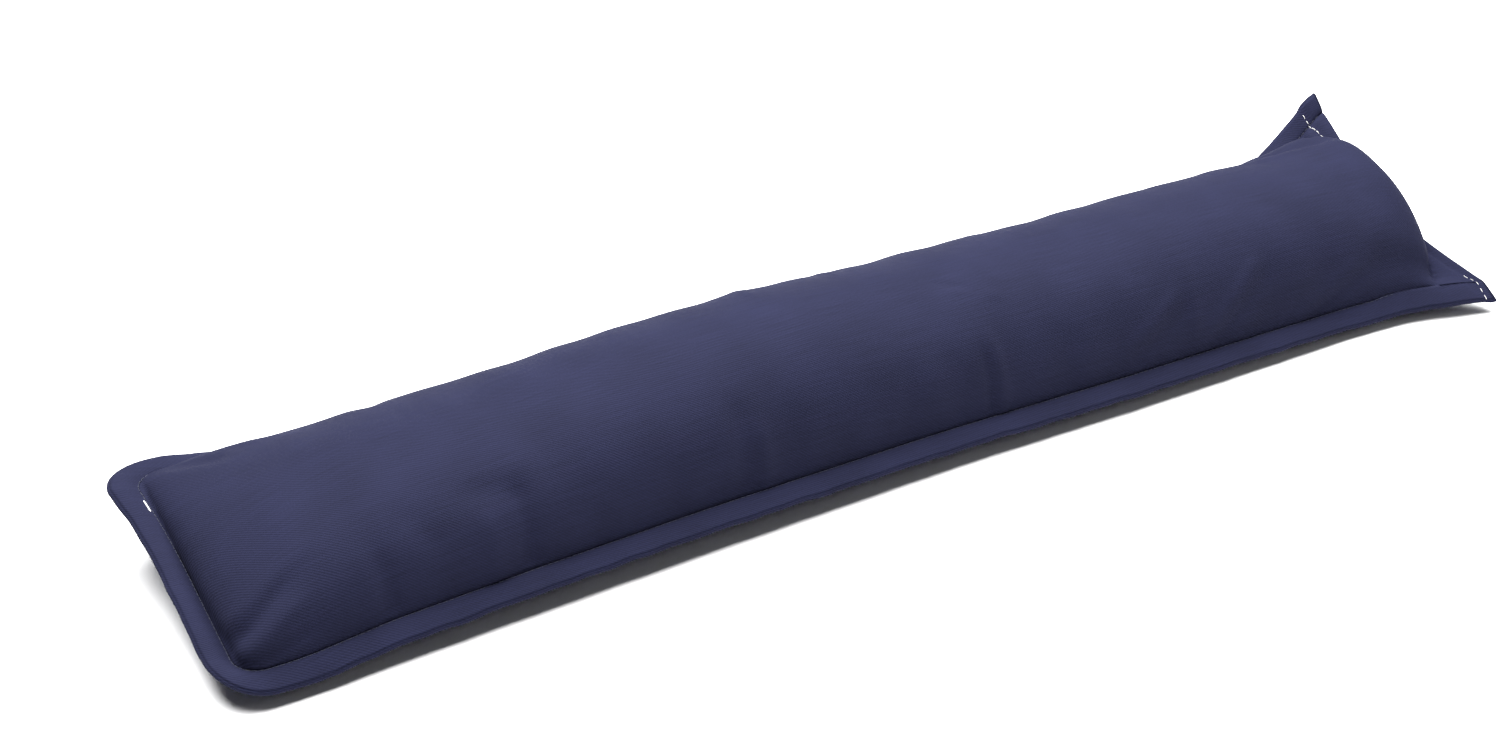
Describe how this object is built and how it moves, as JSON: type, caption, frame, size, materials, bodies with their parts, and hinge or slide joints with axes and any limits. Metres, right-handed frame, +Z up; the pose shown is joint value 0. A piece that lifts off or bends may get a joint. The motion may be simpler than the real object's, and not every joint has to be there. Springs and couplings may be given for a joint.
{
  "type": "draught excluder",
  "caption": "Long filled fabric bag laid along the foot of a door to stop draughts, with a flat stitched edge and a hand-closed end with square ears.",
  "frame": {"origin": "on the floor, under the middle of the bag's length and width", "axes": "+X along the bag from its rounded end to its hand-closed end, +Y towards its back flange, +Z up"},
  "size_m": [0.889, 0.193, 0.0897],
  "materials": {
    "cotton_twill": "matt navy cotton twill"
  },
  "bodies": {
    "root": {"filled_bag": "cotton_twill"}
  },
  "joints": []
}
